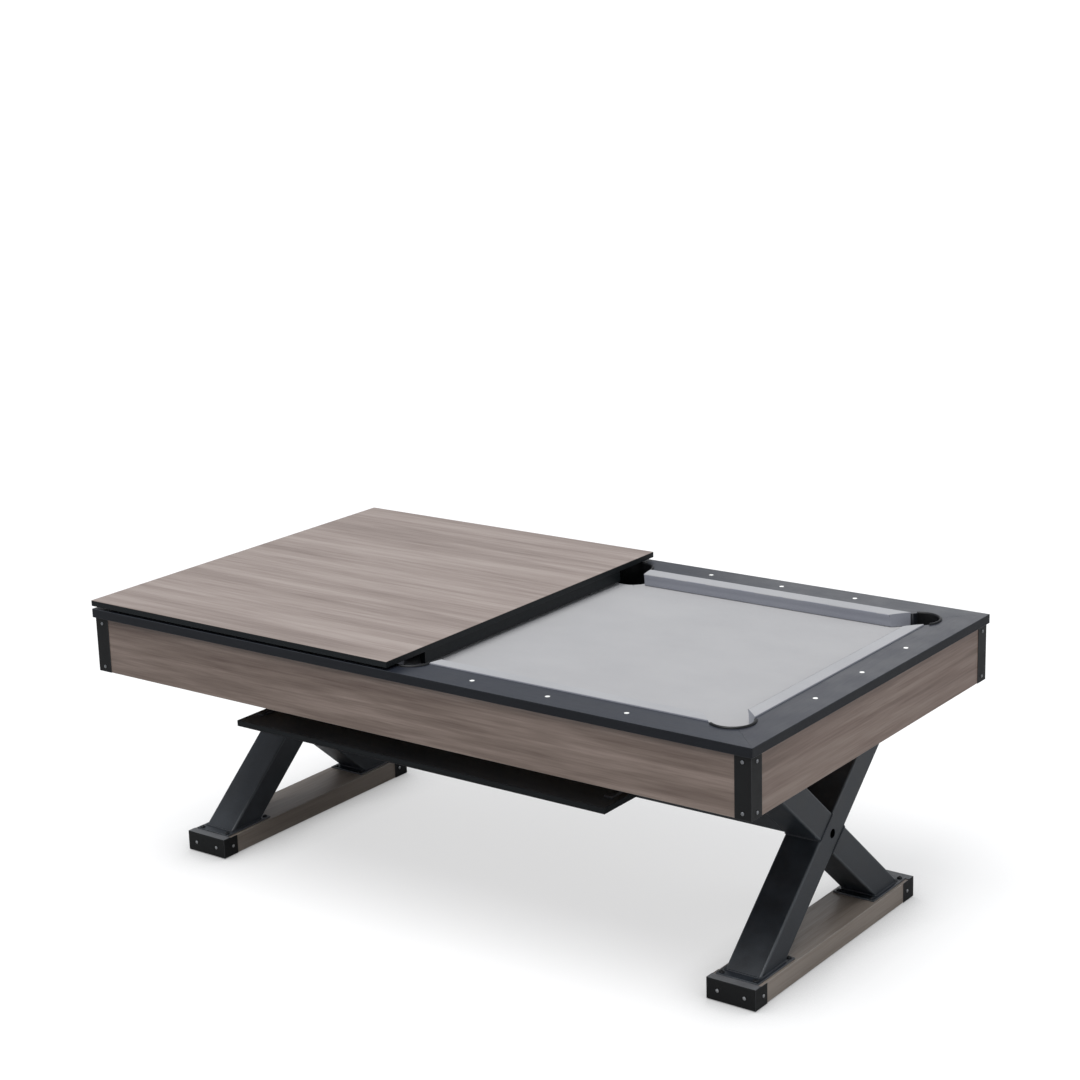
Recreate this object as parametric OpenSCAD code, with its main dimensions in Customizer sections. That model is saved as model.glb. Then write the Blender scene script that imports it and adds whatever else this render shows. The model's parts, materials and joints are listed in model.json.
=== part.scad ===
// Pool table on crossed steel legs, with a two-piece dining cover.
// Millimetres, +Z up. The origin is on the floor under the middle of the table.
// X runs along the table. The front is -Y, the back +Y, the left end -X, the right end +X.

/* [Table] */
// Length over the rails
table_l = 2210; // [2100:10:2400]
// Width over the rails
table_w = 1256; // [1180:4:1360]
// Height of the rail tops above the floor
rail_top_z = 790; // [760:5:840]

/* [Rails] */
// Width of the black rail top, outside the cushion
rail_w = 105; // [96:1:120]
// Thickness of the rail board
rail_t = 26; // [20:1:30]
// How far the rail board stands out past the apron
rail_overhang = 8; // [4:1:12]
// Height of the rail top above the bed cloth
rail_rise = 36; // [35:0.5:42]
// Gap between mitred rail ends
mitre_gap = 0.3; // [0.1:0.1:0.6]
// Diameter of a sight
sight_d = 13; // [8:1:16]
// Depth of a sight in its rail
sight_t = 2; // [1:0.5:4]
// Distance from the rail's outer edge to the middle of a sight
sight_in = 54; // [40:1:60]

/* [Cushions] */
// Depth of a cushion from the rail to its nose
cushion_w = 45; // [44:1:56]
// Height of the cushion's nose above the bed cloth
nose_h = 36; // [34:0.5:36.5]
// Height of the blunt face at the nose
nose_face = 3; // [2:0.5:5]
// Bevel over the nose
nose_ease = 2; // [1:0.25:2.5]
// How far the foot of the cushion's face lies behind the nose
nose_under = 4; // [3:0.5:6]
// How far the cushion's back stands above the rail top
cushion_proud = 4; // [1:0.5:5]
// Gap under the cushion, above the bed cloth
cushion_lift = 2; // [1:0.5:4]
// Angle of a cushion's end at a corner pocket, from square
corner_facing = 44; // [38:1:50]
// Angle of a cushion's end at a side pocket, from square
side_facing = 8; // [4:1:14]
// Gap between a pocket's cut-out and a cushion's back corner
cushion_gap = 2; // [1:0.5:4]

/* [Pockets] */
// Inside radius of a pocket
pocket_r = 52; // [48:1:54]
// Wall of a pocket liner
pocket_wall = 3; // [2:0.5:4]
// Gap between a pocket liner and its cut-out
pocket_gap = 1; // [0.5:0.25:2]
// Width of the raised bead round a pocket
bead_w = 9; // [7:0.5:11]
// Height of the raised bead round a pocket
bead_h = 4.5; // [3:0.5:6]
// Angle between the end of a pocket's wall and a cushion's corner
mouth_ease = 4; // [3:0.5:8]
// How far a corner pocket's centre lies outside each nose line
corner_out = 9; // [6:1:14]
// How far a side pocket's centre lies outside its nose line
side_out = 42; // [38:1:46]
// Gap between a corner pocket's floor and the leg beam below it
pocket_floor_gap = 12; // [6:1:20]

/* [Bed] */
// Thickness of the bed slab
slab_t = 22; // [18:1:28]
// Thickness of the bed cloth
cloth_t = 1; // [0.6:0.1:1.6]
// Gap between the slab's edge and the aprons
slab_gap = 2; // [1:0.5:4]

/* [Cabinet] */
// Height of an apron
apron_h = 161; // [145:1:180]
// Thickness of an apron
apron_t = 18; // [15:1:24]
// Width of each leg of a corner cap
corner_leg = 46; // [30:1:60]
// Thickness of a corner cap
corner_t = 2; // [1.5:0.5:4]
// Distance from a corner cap's end to its bolt
corner_bolt_in = 16; // [10:1:30]
// Thickness of a cross member
cross_t = 30; // [18:1:36]
// Distance from the middle of the table to an inner cross member
cross_x = 250; // [220:5:300]
// Width of a bed cleat
cleat_w = 22; // [16:1:22]
// Height of a bed cleat
cleat_h = 30; // [20:1:40]
// Width of a leg beam
leg_beam_w = 160; // [140:2:180]
// Height of a leg beam
leg_beam_h = 34; // [28:1:40]

/* [Legs] */
// Distance from the table's end to the middle of a leg
leg_in = 190; // [170:5:220]
// Width of a leg arm across its length
arm_w = 84; // [70:1:90]
// Depth of a leg arm along the table
arm_d = 106; // [90:1:110]
// Wall of a leg arm
arm_wall = 2.5; // [2:0.5:4]
// Distance from the middle of the table to an arm's end
leg_spread = 304; // [270:2:320]
// Length of a leg flange, across the table
flange_l = 184; // [176:1:200]
// Width of a leg flange, along the table
flange_w = 126; // [116:1:132]
// Thickness of a leg flange
flange_t = 5; // [4:0.5:8]
// Distance from a flange's end to its bolts
flange_bolt_in = 10; // [8:1:14]
// Distance from a flange's side to its bolts
flange_bolt_side = 13; // [10:1:18]

/* [Feet] */
// Length of a foot beam over its caps
foot_l = 850; // [820:5:950]
// Width of a foot beam
foot_w = 142; // [136:1:160]
// Height of a foot beam
foot_h = 57; // [50:1:70]
// Gap between the floor and a foot beam
foot_lift = 3; // [2:0.5:5]
// Thickness of a foot cap
foot_cap_t = 2; // [1.5:0.5:4]
// Length of a foot cap along the beam's side
foot_cap_l = 58; // [50:1:70]
// Gap between a foot cap's top and the leg flange
foot_cap_gap = 1; // [0.5:0.5:4]
// Distance from the beam's middle to an end bolt
foot_bolt_x = 40; // [30:1:50]
// Distance from the cap's end to a side bolt
foot_bolt_in = 38; // [34:1:42]
// Distance from a foot's end to a leveler
leveler_in = 33; // [29:1:39]
// Radius of a leveler's pad
pad_r = 20; // [16:1:24]
// Thickness of a leveler's pad
pad_t = 4; // [3.5:0.5:5]
// Radius of a leveler's stem
stem_r = 5; // [4:0.5:6]
// Length of a leveler's stem
stem_l = 34; // [28:1:38]
// Outer radius of a threaded insert
insert_r = 8; // [7.5:0.5:10]
// Length of a threaded insert
insert_l = 22; // [16:1:26]
// Wood left under a threaded insert
insert_in = 6; // [4:1:9]
// Free depth above a leveler's stem
stem_free = 3; // [1:0.5:6]
// Clearance round a leveler's stem and pad
leveler_gap = 0.4; // [0.3:0.1:0.8]

/* [Stretcher] */
// Width of the stretcher beam
stretcher_w = 80; // [50:1:90]
// Height of the stretcher beam
stretcher_h = 44; // [40:1:60]
// How far the stretcher's middle stands above the crossing of the legs
stretcher_rise = 12; // [0:1:14]
// Wall of the stretcher beam
stretcher_wall = 2.5; // [2:0.5:4]
// Thickness of the stretcher's end plates
end_plate_t = 8; // [6:1:12]
// Width of the board on the stretcher
board_w = 76; // [40:1:90]
// Thickness of the board on the stretcher
board_t = 10; // [8:1:16]
// Radius of the hole that the stretcher bolt's head goes in through
access_r = 13; // [11:1:16]

/* [Dining cover] */
// Thickness of a cover board without its top sheet
cover_t = 16; // [14:1:20]
// Thickness of the wood-grain sheet on a cover board
sheet_t = 1; // [0.8:0.1:2]
// Gap between the rail tops and a cover board
cover_gap = 8; // [7:0.5:14]
// Gap between the two halves of the cover
cover_seam = 2; // [1:0.5:4]
// Thickness of a cover batten
batten_t = 18; // [12:1:24]
// Distance from the middle of the table to a batten's face
batten_in = 8; // [5:1:14]
// Length of a cover batten
batten_l = 920; // [800:5:930]
// Gap between a batten and the bed cloth
batten_gap = 8; // [4:1:16]
// Width of a rest strip
strip_w = 24; // [16:1:26]
// Distance from the rail's outer edge to a rest strip
strip_in = 18; // [12:1:20]
// Distance from a cover's ends to a rest strip's ends
strip_end = 60; // [40:1:120]
// Gap between the lifting pieces and what they rest on
rest_gap = 0.3; // [0.3:0.1:0.5]

/* [Cover stowage] */
// Gap between the cabinet and the stowed cover
stow_gap = 87; // [70:1:110]
// Thickness of a stowage runner
runner_t = 3; // [2:0.5:5]
// Length of a stowage runner
runner_l = 690; // [500:10:720]
// Width of the runner's lip under the cover
runner_lip = 30; // [20:1:45]
// Height of the runner's fixing above the cabinet's lower edge
runner_fix = 40; // [30:1:60]
// Distance from a runner's end to its screw
runner_screw_in = 40; // [20:5:80]
// Side gap between the stowed cover and a runner
runner_gap = 2; // [1:0.5:4]

/* [Fasteners] */
// Radius of a trim bolt's head
trim_head_r = 5; // [4:0.5:7]
// Height of a trim bolt's head
trim_head_h = 3; // [2:0.5:5]
// Radius of a trim bolt's shank
trim_shank_r = 3; // [2:0.5:3.5]
// Length of a trim bolt's shank
trim_shank_l = 14; // [10:1:14]
// Radius of a frame bolt's head
frame_head_r = 7.5; // [6.5:0.5:8]
// Height of a frame bolt's head
frame_head_h = 5; // [4:0.5:6]
// Radius of a frame bolt's shank
frame_shank_r = 4; // [3:0.5:4.5]
// Length of a flange bolt's shank
flange_shank_l = 28; // [20:1:30]
// Radius of the stretcher bolt's shank
tie_shank_r = 6; // [5:0.5:7]
// Radius of the stretcher bolt's head
tie_head_r = 9.5; // [8.5:0.5:10.5]
// Wood left above a rail bolt
rail_cover = 12; // [8:1:14]
// Depth of thread of the stretcher's bolt inside its end plate
tie_thread = 12; // [8:1:18]
// Radius of a dome head's curve, as a share of the head's radius
dome = 1.6; // [1.3:0.1:2.5]
// Clearance between a bolt's shank and its hole
bolt_gap = 0.2; // [0.1:0.05:0.4]

/* [Hidden] */
$fn = 48;
// How far joined shapes run into each other, and how far a cut runs past a surface
eps = 0.1;
cut = 1;

// Heights
rail_under = rail_top_z - rail_t;
cloth_top = rail_top_z - rail_rise;
slab_top = cloth_top - cloth_t;
slab_under = slab_top - slab_t;
cabinet_z = rail_under - apron_h;
foot_top = foot_lift + foot_h;
arm_z0 = foot_top + flange_t;
arm_z1 = cabinet_z - flange_t;
cross_z = (arm_z0 + arm_z1) / 2;

// Plan
half_l = table_l / 2;
half_w = table_w / 2;
inner_x = half_l - rail_w;
inner_y = half_w - rail_w;
nose_x = inner_x - cushion_w;
nose_y = inner_y - cushion_w;
apron_x = half_l - rail_overhang;
apron_y = half_w - rail_overhang;
clear_x = apron_x - apron_t;
clear_y = apron_y - apron_t;
slab_x = clear_x - slab_gap;
slab_y = clear_y - slab_gap;

// Pockets
liner_r = pocket_r + pocket_wall;
hole_r = liner_r + pocket_gap;
corner_px = nose_x + corner_out;
corner_py = nose_y + corner_out;
side_py = nose_y + side_out;
cup_z = cabinet_z + leg_beam_h + pocket_floor_gap;
corner_reach = sqrt(pow(hole_r, 2) - pow(cushion_w - corner_out, 2)) + cushion_gap;
side_reach = sqrt(pow(hole_r, 2) - pow(cushion_w - side_out, 2)) + cushion_gap;
corner_sector = 90 + 2 * atan((cushion_w - corner_out) / corner_reach) - 2 * mouth_ease;
side_sector = 180 - 2 * atan((cushion_w - side_out) / side_reach) - 2 * mouth_ease;
// Each pocket is [x, y, direction of its back, angle that its back wall spans]
POCKETS = [
    for (sy = [-1, 1]) for (sx = [-1, 0, 1])
        sx == 0
            ? [0, sy * side_py, 90 * sy, side_sector]
            : [sx * corner_px, sy * corner_py, atan2(sy, sx), corner_sector]
];

// Cushion ends, measured along the rail at the cushion's back and at its nose
side_back = side_reach;
side_nose = side_back + cushion_w * tan(side_facing);
long_back = corner_px - corner_reach;
long_nose = long_back - cushion_w * tan(corner_facing);
end_back = corner_py - corner_reach;
end_nose = end_back - cushion_w * tan(corner_facing);

// Sights stand at eighths of the bed's length along every rail
sight_step = 2 * nose_x / 8;
SIGHTS = concat(
    [for (sy = [-1, 1], k = [-3, -2, -1, 1, 2, 3]) [k * sight_step, sy * (half_w - sight_in)]],
    [for (sx = [-1, 1], k = [-1, 0, 1]) [sx * (half_l - sight_in), k * sight_step]]
);

// Rail bolts stand about halfway between the sights, clear of the pockets
rail_bolt_step_x = sight_step * 0.96;
rail_bolt_step_y = sight_step * 0.9;
rail_bolt_y = (slab_y - cleat_w + slab_gap + inner_y) / 2;
rail_bolt_x = (slab_x - cleat_w + slab_gap + inner_x) / 2;
RAIL_BOLTS = concat(
    [for (sy = [-1, 1], k = [-3.5:1:3.5]) [k * rail_bolt_step_x, sy * rail_bolt_y]],
    [for (sx = [-1, 1], k = [-1.5:1:1.5]) [sx * rail_bolt_x, k * rail_bolt_step_y]]
);
rail_bolt_top = rail_top_z - rail_cover;

// Legs
leg_x = half_l - leg_in;
arm_angle = atan((arm_z1 - arm_z0) / (2 * leg_spread));
FLANGE_BOLTS = [
    for (sy = [-1, 1], dy = [-1, 1], dx = [-1, 1])
        [dx * (flange_w / 2 - flange_bolt_side), sy * leg_spread + dy * (flange_l / 2 - flange_bolt_in)]
];

// Feet
foot_y = foot_l / 2 - foot_cap_t;
foot_cap_top = max(2 * foot_cap_t, foot_l / 2 - leg_spread - flange_l / 2 - foot_cap_gap);
leveler_y = foot_l / 2 - leveler_in;
foot_mid_z = foot_lift + foot_h / 2;
recess_z = pad_t + 2 * leveler_gap;
insert_z = recess_z + insert_in;
stem_top = pad_t + stem_l;

// Stretcher
stretcher_x = leg_x - arm_d / 2;
stretcher_under = cross_z + stretcher_rise - stretcher_h / 2;
tie_bolt_l = end_plate_t + arm_wall + tie_thread;

// Cover, in its own frame: the board's lower face is z = 0 and the seam is at +X
cover_l = half_l - cover_seam / 2;
cover_x = -(cover_seam / 2 + cover_l / 2);
cover_z = rail_top_z + cover_gap;
stow_z = cabinet_z - stow_gap;

// Stowage
runner_x = half_w + runner_gap;
runner_z = stow_z - cover_t - sheet_t - rest_gap - runner_t;
outer_cross_x = runner_x + runner_t + cross_t / 2;
CROSS_X = [-outer_cross_x, -cross_x, cross_x, outer_cross_x];
RUNNER_SCREWS = [for (k = [-1, 0, 1]) k * (runner_l / 2 - runner_screw_in)];

// Shared shapes

// Repeats its children in all four quarters of the table
module quarters() {
    for (mx = [0, 1], my = [0, 1]) mirror([mx, 0, 0]) mirror([0, my, 0]) children();
}

// Extrudes a drawing of the Y-Z plane along X
module along_x(x0, x1) {
    translate([x0, 0, 0]) rotate([90, 0, 90]) linear_extrude(x1 - x0) children();
}

// Round-headed bolt: the head stands on z = 0 and the shank goes down
module bolt(head_r, head_h, shank_r, shank_l) {
    intersection() {
        cylinder(r = head_r, h = head_h);
        translate([0, 0, head_h - head_r * dome]) sphere(r = head_r * dome);
    }
    translate([0, 0, -shank_l]) cylinder(r = shank_r, h = shank_l + eps);
}

module trim_bolt() {
    bolt(trim_head_r, trim_head_h, trim_shank_r, trim_shank_l);
}

module trim_hole() {
    translate([0, 0, -trim_shank_l - cut]) cylinder(r = trim_shank_r + bolt_gap, h = trim_shank_l + 2 * cut);
}

// Feet

// Puts its children at the trim bolts of one foot cap, heads outwards, for the cap at +Y
module foot_bolt_places() {
    for (dx = [-1, 1]) translate([dx * foot_bolt_x, foot_l / 2, foot_mid_z]) rotate([-90, 0, 0]) children();
    for (dx = [-1, 1])
        translate([dx * (foot_w / 2 + foot_cap_t), foot_l / 2 - foot_bolt_in, foot_mid_z])
            rotate([0, dx * 90, 0]) children();
}

// Puts its children at both ends of one foot
module foot_ends() {
    for (my = [0, 1]) mirror([0, my, 0]) children();
}

module foot_beam() {
    color("#8a7f78") difference() {
        translate([-foot_w / 2, -foot_y, foot_lift]) cube([foot_w, 2 * foot_y, foot_h]);
        foot_ends() {
            foot_bolt_places() trim_hole();
            translate([0, leveler_y, 0]) cylinder(r = pad_r + 2 * leveler_gap, h = recess_z);
            translate([0, leveler_y, 0]) cylinder(r = stem_r + leveler_gap, h = stem_top + stem_free);
            translate([0, leveler_y, insert_z]) cylinder(r = insert_r, h = insert_l);
        }
        for (p = FLANGE_BOLTS)
            translate([p[0], p[1], arm_z0 - flange_shank_l - cut])
                cylinder(r = frame_shank_r + bolt_gap, h = flange_shank_l);
    }
}

// One end cap: a plate on the beam's end with a cheek along each side, and a top as far as the flange
module foot_cap() {
    difference() {
        union() {
            translate([-foot_w / 2 - foot_cap_t, foot_l / 2 - foot_cap_l, foot_lift])
                cube([foot_w + 2 * foot_cap_t, foot_cap_l, foot_h]);
            translate([-foot_w / 2 - foot_cap_t, foot_l / 2 - foot_cap_top, foot_lift])
                cube([foot_w + 2 * foot_cap_t, foot_cap_top, foot_h + foot_cap_t]);
        }
        translate([-foot_w / 2, foot_l / 2 - foot_cap_l - cut, foot_lift - cut])
            cube([foot_w, foot_cap_l + cut - foot_cap_t, foot_h + cut]);
        foot_bolt_places() trim_hole();
    }
}

module foot_caps() {
    color("#26272a") for (sx = [-1, 1]) translate([sx * leg_x, 0, 0]) foot_ends() foot_cap();
}

module foot_cap_bolts() {
    color("#b8babd") for (sx = [-1, 1]) translate([sx * leg_x, 0, 0])
        foot_ends() foot_bolt_places() trim_bolt();
}

// Levelling foot: a pad on the floor with a threaded stem up into the beam
module leveler(sx, sy) {
    color("#3a3b3d") translate([sx * leg_x, sy * leveler_y, 0]) {
        cylinder(r = pad_r, h = pad_t);
        cylinder(r = stem_r, h = stem_top);
    }
}

module leveler_inserts() {
    color("#a7a9a4") quarters() translate([leg_x, leveler_y, insert_z]) difference() {
        cylinder(r = insert_r, h = insert_l);
        translate([0, 0, -cut]) cylinder(r = stem_r + leveler_gap, h = insert_l + 2 * cut);
    }
}

// Legs

// Outline of an arm in the Y-Z plane; lean is 1 when it rises towards the back, -1 towards the front
module arm_outline(lean, width, grow = 0) {
    run = width / 2 / sin(arm_angle);
    foot = -lean * (leg_spread + grow / tan(arm_angle));
    polygon([
        [foot - run, arm_z0 - grow], [foot + run, arm_z0 - grow],
        [-foot + run, arm_z1 + grow], [-foot - run, arm_z1 + grow]
    ]);
}

// The arm that runs through the crossing, with the holes for the stretcher's bolt; outer is 1 or -1
module through_arm(side) {
    color("#2b2d31") translate([side * leg_x, 0, 0]) difference() {
        along_x(-arm_d / 2, arm_d / 2) arm_outline(1, arm_w);
        along_x(-arm_d / 2 + arm_wall, arm_d / 2 - arm_wall) arm_outline(1, arm_w - 2 * arm_wall, flange_t);
        translate([0, 0, cross_z]) rotate([0, side * 90, 0]) cylinder(r = access_r, h = arm_d);
        translate([0, 0, cross_z]) rotate([0, -side * 90, 0]) cylinder(r = tie_shank_r + bolt_gap, h = arm_d);
    }
}

// Half of the crossing arm: up is 1 for the half above the crossing, -1 for the half below
module half_arm(side, up) {
    height = arm_z1 - arm_z0;
    reach = 2 * leg_spread;
    color("#2b2d31") translate([side * leg_x, 0, 0]) difference() {
        along_x(-arm_d / 2, arm_d / 2) intersection() {
            difference() {
                arm_outline(-1, arm_w);
                arm_outline(1, arm_w, flange_t);
            }
            translate([up > 0 ? -reach : -arm_w / 2, up > 0 ? cross_z : cross_z - height])
                square([reach + arm_w / 2, height]);
        }
        along_x(-arm_d / 2 + arm_wall, arm_d / 2 - arm_wall) arm_outline(-1, arm_w - 2 * arm_wall, flange_t);
    }
}

// Puts its children at the flanges' heights: on the foot beams, then under the leg beams
module flange_levels() {
    translate([0, 0, foot_top]) children();
    translate([0, 0, cabinet_z]) mirror([0, 0, 1]) children();
}

module leg_flanges() {
    color("#2b2d31") for (sx = [-1, 1], sy = [-1, 1]) translate([sx * leg_x, 0, 0]) flange_levels()
        difference() {
            translate([-flange_w / 2, sy * leg_spread - flange_l / 2, 0]) cube([flange_w, flange_l, flange_t]);
            for (p = FLANGE_BOLTS) translate([p[0], p[1], -cut])
                cylinder(r = frame_shank_r + bolt_gap, h = flange_t + 2 * cut);
        }
}

module leg_flange_bolts() {
    color("#1d1e20") for (sx = [-1, 1], p = FLANGE_BOLTS) translate([sx * leg_x, 0, 0]) flange_levels()
        translate([p[0], p[1], flange_t]) bolt(frame_head_r, frame_head_h, frame_shank_r, flange_shank_l);
}

// Stretcher

module stretcher_beam() {
    color("#2b2d31") {
        along_x(-stretcher_x + end_plate_t, stretcher_x - end_plate_t) difference() {
            translate([-stretcher_w / 2, stretcher_under]) square([stretcher_w, stretcher_h]);
            translate([-stretcher_w / 2 + stretcher_wall, stretcher_under + stretcher_wall])
                square([stretcher_w - 2 * stretcher_wall, stretcher_h - 2 * stretcher_wall]);
        }
        for (mx = [0, 1]) mirror([mx, 0, 0]) difference() {
            along_x(stretcher_x - end_plate_t, stretcher_x)
                translate([-stretcher_w / 2, stretcher_under]) square([stretcher_w, stretcher_h]);
            translate([stretcher_x - end_plate_t - cut, 0, cross_z]) rotate([0, 90, 0])
                cylinder(r = tie_shank_r + bolt_gap, h = end_plate_t + 2 * cut);
        }
    }
}

module stretcher_board() {
    color("#8a7f78") translate([-stretcher_x, -board_w / 2, stretcher_under + stretcher_h])
        cube([2 * stretcher_x, board_w, board_t]);
}

module stretcher_bolts() {
    color("#1d1e20") for (side = [-1, 1])
        translate([side * (stretcher_x + arm_wall), 0, cross_z]) rotate([0, side * 90, 0])
            bolt(tie_head_r, frame_head_h * 2, tie_shank_r, tie_bolt_l);
}

// Cabinet

// Puts its children at the trim bolts of the corner cap in the +X +Y quarter, heads outwards
module corner_bolt_places() {
    for (z = [cabinet_z + corner_bolt_in, rail_under - corner_bolt_in]) {
        translate([apron_x + corner_t, apron_y - corner_leg / 2, z]) rotate([0, 90, 0]) children();
        translate([apron_x - corner_leg / 2, apron_y + corner_t, z]) rotate([-90, 0, 0]) children();
    }
}

module long_apron(sy) {
    color("#8a7f78") difference() {
        translate([-apron_x, sy > 0 ? clear_y : -apron_y, cabinet_z]) cube([2 * apron_x, apron_t, apron_h]);
        quarters() corner_bolt_places() trim_hole();
    }
}

module end_apron(sx) {
    color("#8a7f78") difference() {
        translate([sx > 0 ? clear_x : -apron_x, -clear_y, cabinet_z]) cube([apron_t, 2 * clear_y, apron_h]);
        quarters() corner_bolt_places() trim_hole();
    }
}

module corner_caps() {
    color("#26272a") quarters() difference() {
        translate([apron_x - corner_leg, apron_y - corner_leg, cabinet_z])
            cube([corner_leg + corner_t, corner_leg + corner_t, apron_h]);
        translate([apron_x - corner_leg - cut, apron_y - corner_leg - cut, cabinet_z - cut])
            cube([corner_leg + cut, corner_leg + cut, apron_h + 2 * cut]);
        corner_bolt_places() trim_hole();
    }
}

module corner_cap_bolts() {
    color("#c9cbce") quarters() corner_bolt_places() trim_bolt();
}

module leg_beams() {
    color("#6e6257") for (sx = [-1, 1]) difference() {
        translate([sx * leg_x - leg_beam_w / 2, -clear_y, cabinet_z])
            cube([leg_beam_w, 2 * clear_y, leg_beam_h]);
        for (p = FLANGE_BOLTS) translate([sx * leg_x + p[0], p[1], cabinet_z - cut])
            cylinder(r = frame_shank_r + bolt_gap, h = flange_shank_l - flange_t + 2 * cut);
    }
}

// Cleats on the inside of the aprons, under the bed
module bed_cleats() {
    color("#b89b72") translate([0, 0, slab_under - cleat_h]) {
        for (my = [0, 1]) mirror([0, my, 0]) translate([-clear_x, clear_y - cleat_w, 0])
            cube([2 * clear_x, cleat_w, cleat_h]);
        for (mx = [0, 1]) mirror([mx, 0, 0]) translate([clear_x - cleat_w, -clear_y + cleat_w + mitre_gap, 0])
            cube([cleat_w, 2 * (clear_y - cleat_w - mitre_gap), cleat_h]);
    }
}

// Members across the cabinet, notched at their ends round the cleats
module cross_members() {
    color("#6e6257") for (x = CROSS_X) difference() {
        translate([x - cross_t / 2, -clear_y, cabinet_z])
            cube([cross_t, 2 * clear_y, slab_under - cabinet_z]);
        for (my = [0, 1]) mirror([0, my, 0]) translate([x - cross_t, clear_y - cleat_w, slab_under - cleat_h])
            cube([2 * cross_t, cleat_w + cut, cleat_h + cut]);
        for (y = RUNNER_SCREWS) translate([x, y, cabinet_z + runner_fix / 2]) rotate([0, 90, 0])
            translate([0, 0, -cross_t]) cylinder(r = trim_shank_r + bolt_gap, h = 2 * cross_t);
    }
}

// Bed

module pocket_holes(z0, z1) {
    for (p = POCKETS) translate([p[0], p[1], z0]) cylinder(r = hole_r, h = z1 - z0);
}

module rail_bolt_holes(z0, z1) {
    for (p = RAIL_BOLTS) translate([p[0], p[1], z0]) cylinder(r = frame_shank_r + bolt_gap, h = z1 - z0);
}

// A flat layer of the bed with its pocket and bolt holes
module bed_layer(z, t) {
    difference() {
        translate([-slab_x, -slab_y, z]) cube([2 * slab_x, 2 * slab_y, t]);
        pocket_holes(z - cut, z + t + cut);
        rail_bolt_holes(z - cut, z + t + cut);
    }
}

module bed_slab() {
    color("#a08a6c") bed_layer(slab_under, slab_t);
}

module bed_cloth() {
    color("#bcbebf") bed_layer(slab_top, cloth_t);
}

// Rails

// Plan of a rail at +Y: outer edge 2a long at distance b, mitred in to the cushion's line
module mitre_plan(a, b, inner) {
    w = b - inner;
    polygon([
        [-a + mitre_gap, b], [a - mitre_gap, b],
        [a - w - mitre_gap, inner], [-a + w + mitre_gap, inner]
    ]);
}

module sight_places() {
    for (p = SIGHTS) translate([p[0], p[1], rail_top_z - sight_t]) children();
}

// A rail at +Y of its own frame, turned to its side of the table
module rail(turn, a, b, inner, slab_a, slab_b) {
    color("#2e3138") difference() {
        rotate([0, 0, turn]) {
            translate([0, 0, rail_under]) linear_extrude(rail_t) mitre_plan(a, b, inner);
            translate([0, 0, cloth_top]) linear_extrude(rail_rise - rail_t + eps)
                mitre_plan(slab_a, slab_b, inner);
        }
        pocket_holes(cloth_top - cut, rail_top_z + cut);
        rail_bolt_holes(cloth_top - cut, rail_bolt_top + cut);
        sight_places() cylinder(d = sight_d, h = sight_t + cut);
    }
}

module long_rail(turn) {
    rail(turn, half_l, half_w, inner_y, slab_x, slab_y);
}

module end_rail(turn) {
    rail(turn, half_w, half_l, inner_x, slab_y, slab_x);
}

module sights() {
    color("#f2f2ee") sight_places() cylinder(d = sight_d, h = sight_t);
}

module rail_bolts() {
    color("#8d8f92") for (p = RAIL_BOLTS) translate([p[0], p[1], slab_under]) mirror([0, 0, 1])
        bolt(frame_head_r, frame_head_h, frame_shank_r, rail_bolt_top - slab_under);
}

// Cushion section in the Y-Z plane: back at y = back, nose cushion_w nearer the middle.
// Its top falls towards the nose, and its face leans back a little below it.
module cushion_section(back) {
    low = cloth_top + cushion_lift;
    nose = cloth_top + nose_h;
    tip = back - cushion_w;
    polygon([
        [back, low], [back, rail_top_z + cushion_proud], [tip + nose_ease, nose + nose_ease],
        [tip, nose], [tip, nose - nose_face], [tip + nose_under, low]
    ]);
}

// A cushion at +Y of its own frame, from x0 to x1, given at its back and at its nose
module cushion(turn, back, x0_back, x0_nose, x1_back, x1_nose) {
    color("#a9adb2") rotate([0, 0, turn]) intersection() {
        along_x(min(x0_back, x0_nose), max(x1_back, x1_nose)) cushion_section(back);
        translate([0, 0, cloth_top]) linear_extrude(2 * rail_rise) polygon([
            [x0_back, back], [x1_back, back], [x1_nose, back - cushion_w], [x0_nose, back - cushion_w]
        ]);
    }
}

module long_cushion(turn, side) {
    if (side > 0) cushion(turn, inner_y, side_back, side_nose, long_back, long_nose);
    else cushion(turn, inner_y, -long_back, -long_nose, -side_back, -side_nose);
}

module end_cushion(turn) {
    cushion(turn, inner_x, -end_back, -end_nose, end_back, end_nose);
}

// Pockets

// Half section of a pocket liner: floor, wall, and the bead that hangs on the rail
module pocket_section() {
    translate([0, cup_z]) square([liner_r, pocket_wall]);
    translate([pocket_r, cup_z]) square([pocket_wall, rail_top_z - cup_z]);
    translate([pocket_r + bead_w / 2, rail_top_z]) intersection() {
        circle(r = bead_w / 2);
        translate([-bead_w / 2, 0]) square([bead_w, bead_h]);
    }
}

// A moulded liner, cut open towards the bed above the slab
module pocket(i) {
    p = POCKETS[i];
    half = p[3] / 2;
    far = 2 * liner_r;
    color("#17181a") translate([p[0], p[1], 0]) rotate([0, 0, p[2]]) difference() {
        rotate_extrude() pocket_section();
        translate([0, 0, slab_top - cut]) linear_extrude(far) polygon([
            [0, 0], [far * cos(half), far * sin(half)], [-far, far],
            [-far, -far], [far * cos(half), -far * sin(half)]
        ]);
    }
}

// Dining cover, each piece in the cover's own frame

module board_piece() {
    color("#222326") translate([-cover_l / 2, -half_w, 0]) cube([cover_l, table_w, cover_t]);
}

module sheet_piece() {
    color("#a89d96") translate([-cover_l / 2, -half_w, cover_t]) cube([cover_l, table_w, sheet_t]);
}

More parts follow.
